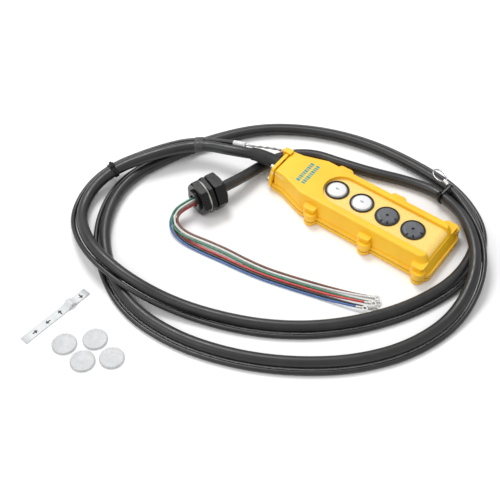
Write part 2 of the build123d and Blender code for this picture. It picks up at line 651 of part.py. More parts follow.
with BuildPart() as gland_locknut:
    with BuildSketch(g_plane.offset(22.5)):
        RegularPolygon(locknut_af / 2, 6, major_radius=False, rotation=30)
    extrude(amount=8.6)
    add(hex_cone(locknut_af, 22.5, 31.1, 1.4, 2.8), mode=Mode.INTERSECT)
    add(turned([(0.0, 20.0), (thread_r + 0.05, 20.0), (thread_r + 0.05, 35.0),
                (0.0, 35.0)]), mode=Mode.SUBTRACT)
save(gland_locknut.part, "gland_locknut")

# ----------------------------------------------------- conductors, terminals
terminals = []
for name, route in core_routes.items():
    save(tube(route, core_r, "core_" + name), "core_" + name)
    end = Vector(*route[-1])
    d = (end - Vector(*route[-2])).normalized()
    terminals.append((end, d))
with BuildPart() as ring_terminals:
    for end, d in terminals:
        level = Vector(d.X, d.Y, 0).normalized()
        with BuildSketch(Plane(origin=end + d * 0.02, z_dir=d)):
            Circle(1.3)
        extrude(amount=6.4)
        with BuildSketch(Plane(origin=end + d * 8.8 + Vector(0, 0, -0.35),
                               x_dir=level, z_dir=(0, 0, 1))):
            Circle(2.9)
            with Locations((-3.0, 0.0)):
                Rectangle(3.6, 2.2)
            Circle(1.5, mode=Mode.SUBTRACT)
        extrude(amount=0.7)
save(ring_terminals.part, "ring_terminals")

# --------------------------------------------------------------- loose parts
strip_from = Vector(-171.7, -316.4, 0.0)
strip_to = Vector(-163.6, -237.7, 0.0)
strip_dir = (strip_to - strip_from).normalized()
with BuildPart() as legend_strip:
    with BuildSketch(Plane(origin=strip_from, x_dir=strip_dir,
                           z_dir=strip_dir.cross(Vector(0, 0, 1)))):
        with BuildLine():
            Polyline((0.0, 0.05), (52.5, 0.05), (57.5, 4.6), (64.0, 0.05),
                     (79.0, 0.05), (79.0, 0.55), (64.3, 0.55), (57.5, 5.3),
                     (52.2, 0.55), (0.0, 0.55), close=True)
        make_face()
    extrude(amount=4.8, both=True)
save(legend_strip.part, "legend_strip")

cap_spots = [(-138.6, -296.1), (-119.1, -274.9), (-112.1, -299.9),
             (-92.6, -281.2)]
with BuildPart() as lens_caps:
    for x, y in cap_spots:
        with BuildSketch(Plane(origin=(x, y, 0), x_dir=(1, 0, 0),
                               z_dir=(0, -1, 0))):
            with BuildLine():
                Polyline((0.0, 2.0), (10.4, 1.7), (10.4, 0.0), (11.9, 0.0),
                         (11.9, 1.9), (11.2, 2.7), (0.0, 3.2), close=True)
            make_face()
        revolve(axis=Axis((x, y, 0), (0, 0, 1)))
save(lens_caps.part, "lens_caps")
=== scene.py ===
import math
import random

import bpy
import bmesh
from mathutils import Matrix, Vector


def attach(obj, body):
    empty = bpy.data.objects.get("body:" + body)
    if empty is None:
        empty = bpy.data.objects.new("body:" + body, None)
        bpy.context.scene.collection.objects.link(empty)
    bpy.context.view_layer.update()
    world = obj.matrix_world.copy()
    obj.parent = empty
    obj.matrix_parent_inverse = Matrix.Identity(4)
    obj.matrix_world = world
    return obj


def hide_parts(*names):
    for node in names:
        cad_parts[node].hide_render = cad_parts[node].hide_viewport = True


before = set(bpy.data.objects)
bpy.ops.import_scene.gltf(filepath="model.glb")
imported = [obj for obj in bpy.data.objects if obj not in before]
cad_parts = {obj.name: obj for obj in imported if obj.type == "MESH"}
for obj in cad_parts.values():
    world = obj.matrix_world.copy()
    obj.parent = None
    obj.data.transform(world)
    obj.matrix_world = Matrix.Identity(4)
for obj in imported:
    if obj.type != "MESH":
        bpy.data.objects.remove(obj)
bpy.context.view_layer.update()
random.seed(7)
MM = 0.001

# ------------------------------------------------------------------ routes
# control points in metres, the same as the model's cords
CABLE = [
    (-0.0880, 0.0000, 0.0145), (-0.1190, -0.0015, 0.0215), (-0.1470, -0.0200, 0.0270), (-0.1870, -0.0290, 0.0206),
    (-0.2150, -0.0660, 0.0214), (-0.2460, -0.1190, 0.0144), (-0.2370, -0.1690, 0.0060), (-0.1920, -0.2020, 0.0188),
    (-0.1370, -0.2120, 0.0188), (-0.0810, -0.2015, 0.0060), (-0.0167, -0.1803, 0.0060), (0.0329, -0.1505, 0.0060),
    (0.0729, -0.1108, 0.0060), (0.1039, -0.0624, 0.0060), (0.1215, -0.0080, 0.0060), (0.1118, 0.0500, 0.0060),
    (0.0641, 0.0859, 0.0060), (0.0078, 0.0932, 0.0060), (-0.0496, 0.0912, 0.0060), (-0.1037, 0.0755, 0.0060),
    (-0.1536, 0.0447, 0.0060), (-0.1871, -0.0006, 0.0060), (-0.2108, -0.0525, 0.0060), (-0.2272, -0.1077, 0.0060),
    (-0.2079, -0.1632, 0.0060), (-0.1678, -0.2038, 0.0060), (-0.1159, -0.2296, 0.0060), (-0.0586, -0.2306, 0.0060),
    (-0.0033, -0.2152, 0.0060), (0.0468, -0.1890, 0.0060), (0.0919, -0.1526, 0.0060), (0.1249, -0.1069, 0.0060),
    (0.1410, -0.0510, 0.0060), (0.1318, 0.0035, 0.0188), (0.0964, 0.0478, 0.0188), (0.0520, 0.0735, 0.0080),
    (0.0140, 0.0695, 0.0060), (-0.0220, 0.0575, 0.0060), (-0.0600, 0.0485, 0.0060), (-0.0874, 0.0434, 0.0060),
    (-0.1094, 0.0270, 0.0060), (-0.1221, 0.0028, 0.0060), (-0.1250, -0.0465, 0.0175), (-0.1394, -0.0840, 0.0175),
]
WIRE = [
    (-0.1531, -0.0122, 0.0289), (-0.1923, -0.0208, 0.0212), (-0.2227, -0.0609, 0.0204), (-0.2557, -0.1173, 0.0110),
    (-0.2454, -0.1742, 0.0026), (-0.1957, -0.2107, 0.0172), (-0.1370, -0.2214, 0.0180), (-0.0787, -0.2104, 0.0046),
    (-0.0128, -0.1887, 0.0026), (0.0386, -0.1578, 0.0026), (0.0801, -0.1166, 0.0026), (0.1123, -0.0664, 0.0026),
    (0.1309, -0.0087, 0.0026), (0.1203, 0.0551, 0.0026), (0.0677, 0.0947, 0.0026), (0.0082, 0.1024, 0.0026),
    (-0.0511, 0.1004, 0.0026), (-0.1075, 0.0840, 0.0026), (-0.1599, 0.0516, 0.0026), (-0.1951, 0.0041, 0.0026),
    (-0.2194, -0.0493, 0.0026), (-0.2369, -0.1079, 0.0026), (-0.2159, -0.1682, 0.0026), (-0.1733, -0.2114, 0.0026),
    (-0.1181, -0.2388, 0.0026), (-0.0574, -0.2398, 0.0026), (0.0001, -0.2238, 0.0026), (0.0519, -0.1967, 0.0026),
    (0.0986, -0.1590, 0.0026), (0.1333, -0.1110, 0.0026), (0.1504, -0.0515, 0.0026), (0.1405, 0.0074, 0.0174),
    (0.1023, 0.0547, 0.0202), (0.0546, 0.0808, 0.0163),
]
CORES = {
    "blue": [
        (-0.1426, -0.0841, 0.0160), (-0.1525, -0.1067, 0.0140), (-0.1544, -0.1199, 0.0086), (-0.1467, -0.1310, 0.0046),
        (-0.1288, -0.1361, 0.0022), (-0.1061, -0.1346, 0.0014), (-0.0830, -0.1314, 0.0014), (-0.0598, -0.1289, 0.0014),
        (-0.0363, -0.1254, 0.0014), (-0.0133, -0.1197, 0.0014), (0.0094, -0.1137, 0.0014), (0.0320, -0.1074, 0.0020),
        (0.0548, -0.1005, 0.0042), (0.0576, -0.0994, 0.0043),
    ],
    "brown": [
        (-0.1372, -0.0867, 0.0190), (-0.1467, -0.1083, 0.0170), (-0.1473, -0.1180, 0.0116), (-0.1418, -0.1234, 0.0076),
        (-0.1281, -0.1243, 0.0052), (-0.1079, -0.1200, 0.0044), (-0.0848, -0.1168, 0.0044), (-0.0616, -0.1143, 0.0024),
        (-0.0392, -0.1109, 0.0014), (-0.0171, -0.1054, 0.0014), (0.0051, -0.0990, 0.0014), (0.0272, -0.0923, 0.0014),
        (0.0487, -0.0851, 0.0014), (0.0590, -0.0804, 0.0014),
    ],
    "red": [
        (-0.1372, -0.0867, 0.0160), (-0.1467, -0.1083, 0.0140), (-0.1482, -0.1183, 0.0086), (-0.1433, -0.1258, 0.0046),
        (-0.1284, -0.1302, 0.0022), (-0.1068, -0.1287, 0.0014), (-0.0838, -0.1256, 0.0014), (-0.0605, -0.1231, 0.0014),
        (-0.0375, -0.1196, 0.0014), (-0.0148, -0.1140, 0.0014), (0.0077, -0.1078, 0.0014), (0.0300, -0.1012, 0.0020),
        (0.0523, -0.0941, 0.0042), (0.0615, -0.0903, 0.0046),
    ],
    "white": [
        (-0.1399, -0.0854, 0.0190), (-0.1496, -0.1075, 0.0170), (-0.1504, -0.1188, 0.0116), (-0.1435, -0.1260, 0.0076),
        (-0.1283, -0.1273, 0.0052), (-0.1075, -0.1229, 0.0044), (-0.0845, -0.1197, 0.0044), (-0.0613, -0.1172, 0.0024),
        (-0.0386, -0.1138, 0.0014), (-0.0164, -0.1083, 0.0014), (0.0059, -0.1019, 0.0014), (0.0281, -0.0952, 0.0020),
        (0.0499, -0.0880, 0.0042), (0.0613, -0.0829, 0.0048),
    ],
    "black": [
        (-0.1399, -0.0854, 0.0160), (-0.1496, -0.1075, 0.0140), (-0.1513, -0.1191, 0.0086), (-0.1450, -0.1284, 0.0046),
        (-0.1286, -0.1331, 0.0022), (-0.1064, -0.1317, 0.0014), (-0.0834, -0.1285, 0.0014), (-0.0601, -0.1260, 0.0014),
        (-0.0369, -0.1225, 0.0014), (-0.0141, -0.1168, 0.0014), (0.0085, -0.1107, 0.0014), (0.0310, -0.1042, 0.0014),
        (0.0534, -0.0971, 0.0014), (0.0666, -0.0916, 0.0014),
    ],
    "green": [
        (-0.1426, -0.0841, 0.0190), (-0.1525, -0.1067, 0.0170), (-0.1535, -0.1197, 0.0116), (-0.1452, -0.1287, 0.0076),
        (-0.1285, -0.1303, 0.0052), (-0.1072, -0.1258, 0.0044), (-0.0841, -0.1226, 0.0044), (-0.0609, -0.1202, 0.0024),
        (-0.0380, -0.1167, 0.0014), (-0.0156, -0.1111, 0.0014), (0.0068, -0.1048, 0.0014), (0.0291, -0.0982, 0.0014),
        (0.0510, -0.0910, 0.0014), (0.0637, -0.0854, 0.0014),
    ]
}


# --------------------------------------------------------------- materials
def material(name):
    m = bpy.data.materials.new(name)
    m.use_nodes = True
    nt = m.node_tree
    return m, nt, nt.nodes["Principled BSDF"]


def noise(nt, scale, detail=4.0, rough=0.55, stretch=None):
    co = nt.nodes.new("ShaderNodeTexCoord")
    n = nt.nodes.new("ShaderNodeTexNoise")
    n.inputs["Scale"].default_value = scale
    n.inputs["Detail"].default_value = detail
    n.inputs["Roughness"].default_value = rough
    if stretch:
        mp = nt.nodes.new("ShaderNodeMapping")
        mp.inputs["Scale"].default_value = stretch
        nt.links.new(co.outputs["Object"], mp.inputs["Vector"])
        nt.links.new(mp.outputs["Vector"], n.inputs["Vector"])
    else:
        nt.links.new(co.outputs["Object"], n.inputs["Vector"])
    return n


def ramp(nt, src, stops):
    r = nt.nodes.new("ShaderNodeValToRGB")
    e = r.color_ramp.elements
    while len(e) < len(stops):
        e.new(0.5)
    for el, (pos, col) in zip(e, stops):
        el.position = pos
        el.color = (*col, 1.0) if len(col) == 3 else col
    nt.links.new(src, r.inputs["Fac"])
    return r


def grey(v):
    return (v, v, v)


def finish_material(nt, bsdf, col_a, col_b, scale, rough, bump_scale, bump,
                    spots=None, bevel=0.0, stretch=None, detail=5.0):
    """Colour drift, roughness drift and fine surface relief."""
    n = noise(nt, scale, detail, 0.6, stretch)
    c = ramp(nt, n.outputs["Fac"], [(0.3, col_a), (0.7, col_b)])
    colour = c.outputs["Color"]
    if spots:
        s = noise(nt, spots[0], 3.0, 0.7)
        sr = ramp(nt, s.outputs["Fac"], [(spots[1], grey(0)), (spots[1] + 0.06, grey(1))])
        mix = nt.nodes.new("ShaderNodeMix")
        mix.data_type = "RGBA"
        mul = nt.nodes.new("ShaderNodeMath")
        mul.operation = "MULTIPLY"
        mul.inputs[1].default_value = spots[3]
        nt.links.new(sr.outputs["Color"], mul.inputs[0])
        nt.links.new(mul.outputs[0], mix.inputs[0])
        nt.links.new(colour, mix.inputs[6])
        mix.inputs[7].default_value = (*spots[2], 1.0)
        colour = mix.outputs[2]
    nt.links.new(colour, bsdf.inputs["Base Color"])
    r = noise(nt, scale * 3.1, 3.0, 0.5, stretch)
    rr = ramp(nt, r.outputs["Fac"], [(0.3, grey(rough[0])), (0.75, grey(rough[1]))])
    nt.links.new(rr.outputs["Color"], bsdf.inputs["Roughness"])
    b = noise(nt, bump_scale, 3.0, 0.6, stretch)
    bp = nt.nodes.new("ShaderNodeBump")
    bp.inputs["Strength"].default_value = bump[0]
    bp.inputs["Distance"].default_value = bump[1]
    nt.links.new(b.outputs["Fac"], bp.inputs["Height"])
    if bevel:
        bv = nt.nodes.new("ShaderNodeBevel")
        bv.samples = 4
        bv.inputs["Radius"].default_value = bevel
        nt.links.new(bv.outputs["Normal"], bp.inputs["Normal"])
    nt.links.new(bp.outputs["Normal"], bsdf.inputs["Normal"])


def plastic(name, a, b, rough=(0.35, 0.5), scale=60, bump_scale=1800,
            bump=(0.25, 0.0001), coat=0.0, spots=None, bevel=0.0, spec=0.5,
            metallic=0.0, stretch=None):
    m, nt, bsdf = material(name)
    bsdf.inputs["Metallic"].default_value = metallic
    bsdf.inputs["Specular IOR Level"].default_value = spec
    bsdf.inputs["Coat Weight"].default_value = coat
    bsdf.inputs["Coat Roughness"].default_value = 0.18
    finish_material(nt, bsdf, a, b, scale, rough, bump_scale, bump, spots,
                    bevel, stretch)
    return m


YELLOW = plastic("moulded_yellow", (0.93, 0.49, 0.006), (0.98, 0.57, 0.012),
                 (0.36, 0.5), 28, 1500, (0.18, 0.00012), 0.12,
                 (420, 0.72, (0.55, 0.27, 0.02), 0.35), 0.0007)
# the sunk button panel is painted paler, with a coarser grain: painted light, for the matte floor that reads lighter
# under the lamps
_nt = YELLOW.node_tree
_bs = _nt.nodes["Principled BSDF"]
_co = _nt.nodes.new("ShaderNodeTexCoord")
_sep = _nt.nodes.new("ShaderNodeSeparateXYZ")
_nt.links.new(_co.outputs["Object"], _sep.inputs[0])


def _band(src, low, high):
    a = _nt.nodes.new("ShaderNodeMath")
    a.operation = "GREATER_THAN"
    a.inputs[1].default_value = low
    b = _nt.nodes.new("ShaderNodeMath")
    b.operation = "LESS_THAN"
    b.inputs[1].default_value = high
    c = _nt.nodes.new("ShaderNodeMath")
    c.operation = "MULTIPLY"
    _nt.links.new(src, a.inputs[0])
    _nt.links.new(src, b.inputs[0])
    _nt.links.new(a.outputs[0], c.inputs[0])
    _nt.links.new(b.outputs[0], c.inputs[1])
    return c.outputs[0]


_panel_light_mask = _nt.nodes.new("ShaderNodeMath")
_panel_light_mask.operation = "MULTIPLY"
_nt.links.new(_band(_sep.outputs["Z"], 0.0205, 0.02375), _panel_light_mask.inputs[0])
_nt.links.new(_band(_sep.outputs["Y"], -0.0196, 0.0196), _panel_light_mask.inputs[1])
_grain = noise(_nt, 900, 2.0, 0.7)
# painted light: paler colours with grain for the panel floor
_painted_light_grain = ramp(_nt, _grain.outputs["Fac"], [(0.3, (0.9, 0.55, 0.1)), (0.7, (1.0, 0.74, 0.24))])
_mx = _nt.nodes.new("ShaderNodeMix")
_mx.data_type = "RGBA"
_old = _bs.inputs["Base Color"].links[0].from_socket
_nt.links.new(_panel_light_mask.outputs[0], _mx.inputs[0])
_nt.links.new(_old, _mx.inputs[6])
_nt.links.new(_painted_light_grain.outputs["Color"], _mx.inputs[7])
_nt.links.new(_mx.outputs[2], _bs.inputs["Base Color"])
GASKET = plastic("gasket_rubber", (0.012, 0.012, 0.012), (0.03, 0.03, 0.03),
                 (0.6, 0.8), 120)
STEEL = plastic("screw_steel", (0.32, 0.31, 0.29), (0.5, 0.49, 0.47),
                (0.25, 0.45), 300, 2500, (0.2, 0.00005), metallic=1.0,
                spots=(700, 0.62, (0.1, 0.07, 0.05), 0.6))
RED_SCREW = plastic("copper_screw", (0.45, 0.13, 0.07), (0.62, 0.22, 0.12),
                    (0.25, 0.42), 300, 2500, (0.2, 0.00005), metallic=0.8,
                    spots=(700, 0.6, (0.12, 0.04, 0.03), 0.6))
WHITE_CAP = plastic("cap_white", (0.72, 0.73, 0.74), (0.81, 0.81, 0.82),
                    (0.2, 0.32), 90, 1500, (0.08, 0.00005), 0.5,
                    (500, 0.7, (0.5, 0.5, 0.48), 0.25))
# silver-grey rim colour for the white caps, and painted shade: it darkens their rounded edge and side wall
CAP_RIM_AND_SHADE = plastic("cap_rim", (0.36, 0.35, 0.33), (0.5, 0.49, 0.46),
                  (0.22, 0.35), 120, 1500, (0.08, 0.00005), 0.3,
                  metallic=0.55)
GREY_CAP = plastic("cap_grey", (0.075, 0.083, 0.095), (0.12, 0.128, 0.14),
                   (0.3, 0.44), 90, 1800, (0.12, 0.00006), 0.3,
                   (520, 0.68, (0.2, 0.2, 0.2), 0.3))
DARK_AND_SHADE = plastic("dark_plastic_and_painted_shade", (0.008, 0.008, 0.008), (0.02, 0.02, 0.02),
               (0.35, 0.55), 120)
CABLE_MAT = plastic("cable_jacket", (0.009, 0.009, 0.0095), (0.02, 0.02, 0.021),
                    (0.3, 0.46), 40, 900, (0.22, 0.00015), 0.0,
                    (260, 0.66, (0.075, 0.073, 0.07), 0.45), spec=0.55)
WIRE_MAT = plastic("wire_jacket", (0.008, 0.008, 0.0085), (0.019, 0.019, 0.02),
                   (0.28, 0.44), 60, 1100, (0.22, 0.00012), 0.0,
                   (320, 0.66, (0.06, 0.06, 0.06), 0.4), spec=0.55)
TAPE = plastic("tape", (0.03, 0.03, 0.03), (0.055, 0.055, 0.055), (0.3, 0.5),
               140, 1600, (0.3, 0.00012))
NYLON = plastic("nylon_black", (0.003, 0.003, 0.003), (0.007, 0.0065, 0.006),
                (0.2, 0.32), 60, 900, (0.05, 0.00008), 0.0,
                (300, 0.7, (0.04, 0.03, 0.02), 0.3), 0.0005, 0.32)
WASHER = plastic("washer_grey", (0.36, 0.36, 0.34), (0.5, 0.5, 0.47),
                 (0.5, 0.7), 160)
WIRE_STEEL = plastic("wire_steel", (0.45, 0.45, 0.44), (0.66, 0.66, 0.65),
                     (0.22, 0.4), 500, 3000, (0.3, 0.00004), metallic=1.0,
                     spots=(900, 0.62, (0.15, 0.14, 0.12), 0.5))
TIN = plastic("tin_plate", (0.62, 0.61, 0.6), (0.78, 0.77, 0.75),
              (0.2, 0.38), 300, 2500, (0.25, 0.00005), metallic=0.9,
              spots=(800, 0.64, (0.3, 0.27, 0.22), 0.4))
BRASS = plastic("brass", (0.55, 0.4, 0.12), (0.7, 0.52, 0.2), (0.3, 0.45),
                300, 2500, (0.2, 0.00005), metallic=1.0)
INNER = plastic("inner_plastic", (0.02, 0.02, 0.022), (0.045, 0.045, 0.05),
                (0.4, 0.6), 100)
PLUNGER = plastic("plunger_plastic", (0.5, 0.47, 0.42), (0.62, 0.6, 0.54),
                  (0.4, 0.55), 100)
CARD = plastic("printed_card", (0.56, 0.58, 0.59), (0.67, 0.685, 0.695),
               (0.4, 0.6), 70, 1200, (0.2, 0.0001),
               spots=(240, 0.68, (0.5, 0.5, 0.5), 0.25))
INK = plastic("ink_black", (0.01, 0.01, 0.012), (0.04, 0.04, 0.045),
              (0.5, 0.7), 300)
TEAL = plastic("print_teal", (0.0, 0.2, 0.19), (0.05, 0.4, 0.36), (0.4, 0.6),
               900, 2500, (0.1, 0.00003))
MARK = plastic("cap_mark", (0.25, 0.26, 0.28), (0.4, 0.41, 0.43), (0.4, 0.6),
               600, 2500, (0.1, 0.00003))
CORE_MATS = {}
for key, (ca, cb) in {
        "blue": ((0.03, 0.09, 0.27), (0.06, 0.15, 0.38)),
        "brown": ((0.13, 0.05, 0.03), (0.21, 0.09, 0.055)),
        "red": ((0.5, 0.03, 0.035), (0.66, 0.07, 0.06)),
        "white": ((0.6, 0.6, 0.6), (0.74, 0.74, 0.73)),
        "black": ((0.012, 0.012, 0.012), (0.03, 0.03, 0.03)),
        "green": ((0.03, 0.15, 0.09), (0.06, 0.24, 0.13))}.items():
    CORE_MATS[key] = plastic("core_" + key + "_insulation", ca, cb,
                             (0.28, 0.45), 200, 1600, (0.12, 0.00006), 0.15,
                             (600, 0.7, tuple(0.5 * c for c in ca), 0.5))

m, nt, bsdf = material("clear_lens")
bsdf.inputs["Alpha"].default_value = 0.42
bsdf.inputs["IOR"].default_value = 1.45
finish_material(nt, bsdf, (0.48, 0.49, 0.5), (0.62, 0.63, 0.64), 220,
                (0.14, 0.3), 900, (0.25, 0.0001))
LENS = m
m, nt, bsdf = material("clear_sleeve")
bsdf.inputs["Transmission Weight"].default_value = 0.12
bsdf.inputs["IOR"].default_value = 1.45
finish_material(nt, bsdf, (0.62, 0.63, 0.64), (0.86, 0.87, 0.88), 500,
                (0.15, 0.35), 1500, (0.3, 0.0001))
SLEEVE = m


def paint(node, mat):
    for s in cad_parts[node].material_slots:
        s.material = mat


for node, mat in {
        "front_case": YELLOW, "back_cover": YELLOW, "case_gasket": GASKET,
        "cover_screws": STEEL, "entry_clamp_plate": YELLOW,
        "entry_clamp_screws": STEEL, "wire_anchor_lug": YELLOW,
        # the guard rings are black plastic, and their black also paints the shadow in the gap round each cap
        "wire_anchor_screw": RED_SCREW, "guard_rings": DARK_AND_SHADE,
        "button_seals": GASKET, "ring_nuts": INNER, "contact_block_a": INNER,
        "contact_block_b": INNER, "block_screws": STEEL,
        "fixed_contacts": BRASS, "terminal_screws": BRASS,
        "inner_leads": CORE_MATS["black"], "gland_dome_nut": NYLON,
        "gland_body": NYLON, "gland_seal": GASKET, "gland_washer": WASHER,
        "gland_locknut": NYLON, "ring_terminals": TIN, "lens_caps": LENS,
        "cable_boot": GASKET}.items():
    paint(node, mat)
for i in "1234":
    paint("button_plunger_" + i, PLUNGER)
    paint("return_spring_" + i, WIRE_STEEL)
    paint("moving_contact_" + i, BRASS)


# ------------------------------------------------------------ mesh helpers
def new_object(name, verts, faces, mat, smooth=True, mats=None, index=None):
    me = bpy.data.meshes.new(name)
    me.from_pydata([tuple(v) for v in verts], [], faces)
    for mm_ in (mats or [mat]):
        me.materials.append(mm_)
    bm = bmesh.new()
    bm.from_mesh(me)
    bmesh.ops.recalc_face_normals(bm, faces=bm.faces)
    bm.to_mesh(me)
    bm.free()
    for k, p in enumerate(me.polygons):
        p.use_smooth = smooth
        if index:
            p.material_index = index[k]
    o = bpy.data.objects.new(name, me)
    bpy.context.scene.collection.objects.link(o)
    return o


def cord_curve(name, pts, radius, mat, fill=True):
    cu = bpy.data.curves.new(name, "CURVE")
    cu.dimensions = "3D"
    sp = cu.splines.new("NURBS")
    sp.points.add(len(pts) - 1)
    for p, c in zip(sp.points, pts):
        p.co = (c[0], c[1], c[2], 1.0)
    sp.order_u = 3
    sp.use_endpoint_u = True
    sp.resolution_u = 16
    cu.bevel_depth = radius
    cu.bevel_resolution = 8
    cu.use_fill_caps = fill
    cu.materials.append(mat)
    o = bpy.data.objects.new(name, cu)
    bpy.context.scene.collection.objects.link(o)
    return o


def line_of(pts):
    """The points of the cord's own smooth line."""
    o = cord_curve("line", pts, 0.0, CABLE_MAT)
    bpy.context.view_layer.update()
    me = bpy.data.meshes.new_from_object(
        o.evaluated_get(bpy.context.evaluated_depsgraph_get()))
    out = [v.co.copy() for v in me.vertices]
    bpy.data.objects.remove(o)
    return out


def length_of(line):
    return sum((b - a).length for a, b in zip(line, line[1:]))


def at(line, s):
    """Point and direction at a distance along the line."""
    for a, b in zip(line, line[1:]):
        d = (b - a).length
        if s <= d:
            return a.lerp(b, s / d if d else 0), (b - a).normalized()
        s -= d
    return line[-1].copy(), (line[-1] - line[-2]).normalized()


def nearest(line, p):
    best = min(range(len(line)), key=lambda i: (line[i] - p).length)
    i = min(max(best, 1), len(line) - 2)
    return line[i], (line[i + 1] - line[i - 1]).normalized()


def rings(name, stations, mat, seg=32, mats=None, index=None):
    """Skin over rings; each station is (centre, direction, radius)."""
    verts, faces = [], []
    side = None
    for c, d, r in stations:
        if side is None:
            side = d.orthogonal().normalized()
        side = (side - d * side.dot(d)).normalized()
        up = d.cross(side)
        for k in range(seg):
            t = 2 * math.pi * k / seg
            verts.append(c + (side * math.cos(t) + up * math.sin(t)) * r)
    idx = []
    for j in range(len(stations) - 1):
        for k in range(seg):
            a, b = j * seg + k, j * seg + (k + 1) % seg
            faces.append((a, b, b + seg, a + seg))
            idx.append(index[j] if index else 0)
    n = len(stations)
    faces.append(tuple(range(seg)))
    faces.append(tuple((n - 1) * seg + k for k in range(seg)))
    idx += [0, 0]
    return new_object(name, verts, faces, mat, mats=mats,
                      index=idx if index else None)


def sharpen(o, angle=35):
    me = o.data
    bm = bmesh.new()
    bm.from_mesh(me)
    for e in bm.edges:
        if len(e.link_faces) == 2 and e.calc_face_angle() > math.radians(angle):
            e.smooth = False
    bm.to_mesh(me)
    bm.free()
    return o


# -------------------------------------------------------------- cable, wire
cable_line = line_of(CABLE)
wire_line = line_of(WIRE)
cable = cord_curve("main_cable", CABLE, 5.9 * MM, CABLE_MAT)
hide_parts("pendant_cable")
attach(cable, "pendant")
wire = cord_curve("strain_wire", WIRE, 2.5 * MM, WIRE_MAT)
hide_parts("strain_wire_jacket")
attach(wire, "pendant")

core_objects = {}
for key, pts in CORES.items():
    o = cord_curve("loose_core_" + key, pts, 1.15 * MM, CORE_MATS[key])
    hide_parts("core_" + key)
    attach(o, "pendant")
    core_objects[key] = o

# boot round the cable at the head
boot_stations = []
boot_parts = 44
for k in range(boot_parts + 1):
    s = (12.8 + 34.6 * k / boot_parts) * MM
    c, d = at(cable_line, s)
    f = k / boot_parts
    r = 7.95 - 1.25 * f ** 1.3
    if k in (0, boot_parts):
        r -= 0.3
    boot_stations.append((c, d, r * MM))
boot = rings("cable_boot_skin", boot_stations, GASKET, 40)
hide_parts("cable_boot")
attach(boot, "pendant")

# -------------------------------------------------------------------- ties
def hull(points):
    pts = sorted(set((round(x, 7), round(y, 7)) for x, y in points))

    def half(seq):
        out = []
        for p in seq:
            while len(out) > 1 and ((out[-1][0] - out[-2][0]) * (p[1] - out[-2][1])
                                    - (out[-1][1] - out[-2][1]) * (p[0] - out[-2][0])) <= 0:
                out.pop()
            out.append(p)
        return out
    lo, hi = half(pts), half(reversed(pts))
    return lo[:-1] + hi[:-1]


def strap(name, target, width, thick, gap, mat, node, wraps=1,
          lock=None):
    c1, d = nearest(cable_line, Vector(target))
    c2, _ = nearest(wire_line, c1)
    side = (c2 - c1 - d * (c2 - c1).dot(d))
    reach = side.length
    side = side.normalized()
    up = d.cross(side)
    circle = []
    for k in range(64):
        t = 2 * math.pi * k / 64
        circle.append(((5.9 * MM + gap) * math.cos(t), (5.9 * MM + gap) * math.sin(t)))
        circle.append((reach + (2.5 * MM + gap) * math.cos(t),
                       (2.5 * MM + gap) * math.sin(t)))
    loop = hull(circle)
    cx = sum(p[0] for p in loop) / len(loop)
    cy = sum(p[1] for p in loop) / len(loop)
    verts, faces = [], []
    prof = [(-0.5, 0.0), (-0.5, 0.7), (-0.42, 1.0), (0.42, 1.0), (0.5, 0.7), (0.5, 0.0)]
    n = len(loop)
    for w in range(wraps):
        base = len(verts)
        shift = (w - (wraps - 1) / 2) * width * 0.28
        for k, (x, y) in enumerate(loop):
            rad = Vector((x - cx, y - cy)).normalized()
            wob = 0.00012 * math.sin(3.0 * k * 2 * math.pi / n + w * 2.1)
            for u, v in prof:
                off = v * thick * (1 + 0.25 * w) + wob * (v > 0)
                p = (c1 + side * (x + rad.x * off) + up * (y + rad.y * off)
                     + d * (u * width + shift + wob * 2))
                verts.append(p)
        q = len(prof)
        for k in range(n):
            a, b = base + k * q, base + ((k + 1) % n) * q
            for j in range(q):
                faces.append((a + j, a + (j + 1) % q, b + (j + 1) % q, b + j))
    o = new_object(name, verts, faces, mat)
    sharpen(o, 50)
    if lock:
        # the tie's lock with its slot, and the cut tail
        ang = lock
        dirv = side * math.cos(ang) + up * math.sin(ang)
        tang = up * math.cos(ang) - side * math.sin(ang)
        centre = (c1 + side * (0.0 if math.cos(ang) < 0 else reach * 0.0)
                  + dirv * (5.9 * MM + gap + 2.0 * MM))
        bm = bmesh.new()
        bmesh.ops.create_grid(bm, x_segments=3, y_segments=3, size=0.5)
        for f in list(bm.faces):
            pass
        ext = bmesh.ops.extrude_face_region(bm, geom=bm.faces[:])
        for v in [g for g in ext["geom"] if isinstance(g, bmesh.types.BMVert)]:
            v.co.z += 1.0
        top = [f for f in bm.faces if abs(f.calc_center_median().x) < 0.1
               and abs(f.calc_center_median().y) < 0.1]
        if top:
            bmesh.ops.inset_individual(bm, faces=top, thickness=0.03, depth=-0.25)
        for v in bm.verts:
            k = v.co.copy()
            v.co = (centre + tang * k.x * 5.0 * MM + d * k.y * 4.9 * MM
                    + dirv * (k.z - 0.42) * 3.6 * MM)
        me = bpy.data.meshes.new(name + "_lock")
        bm.to_mesh(me)
        bm.free()
        me.materials.append(mat)
        lk = bpy.data.objects.new(name + "_lock", me)
        bpy.context.scene.collection.objects.link(lk)
        bv = lk.modifiers.new("edge", "BEVEL")
        bv.width = 0.7 * MM
        bv.segments = 4
        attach(lk, "pendant")
        tail_dir = (tang * 0.8 + dirv * 0.6).normalized()
        st = []
        t0 = centre + tang * 2.4 * MM
        verts, faces = [], []
        for k in range(7):
            c = t0 + tail_dir * k * 0.42 * MM
            hw = 1.7 * MM * (1 - 0.04 * k)
            for u, v in ((-1, -0.5), (1, -0.5), (1, 0.5), (-1, 0.5)):
                verts.append(c + d * u * hw + tang.cross(d) * v * 0.9 * MM)
        for k in range(6):
            for j in range(4):
                a, b = k * 4 + j, k * 4 + (j + 1) % 4
                faces.append((a, b, b + 4, a + 4))
        faces += [(0, 1, 2, 3), (24, 25, 26, 27)]
        tl = new_object(name + "_tail", verts, faces, mat, False)
        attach(tl, "pendant")
        extra = [lk, tl]
    else:
        extra = []
    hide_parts(node)
    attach(o, "pendant")
    return [o] + extra


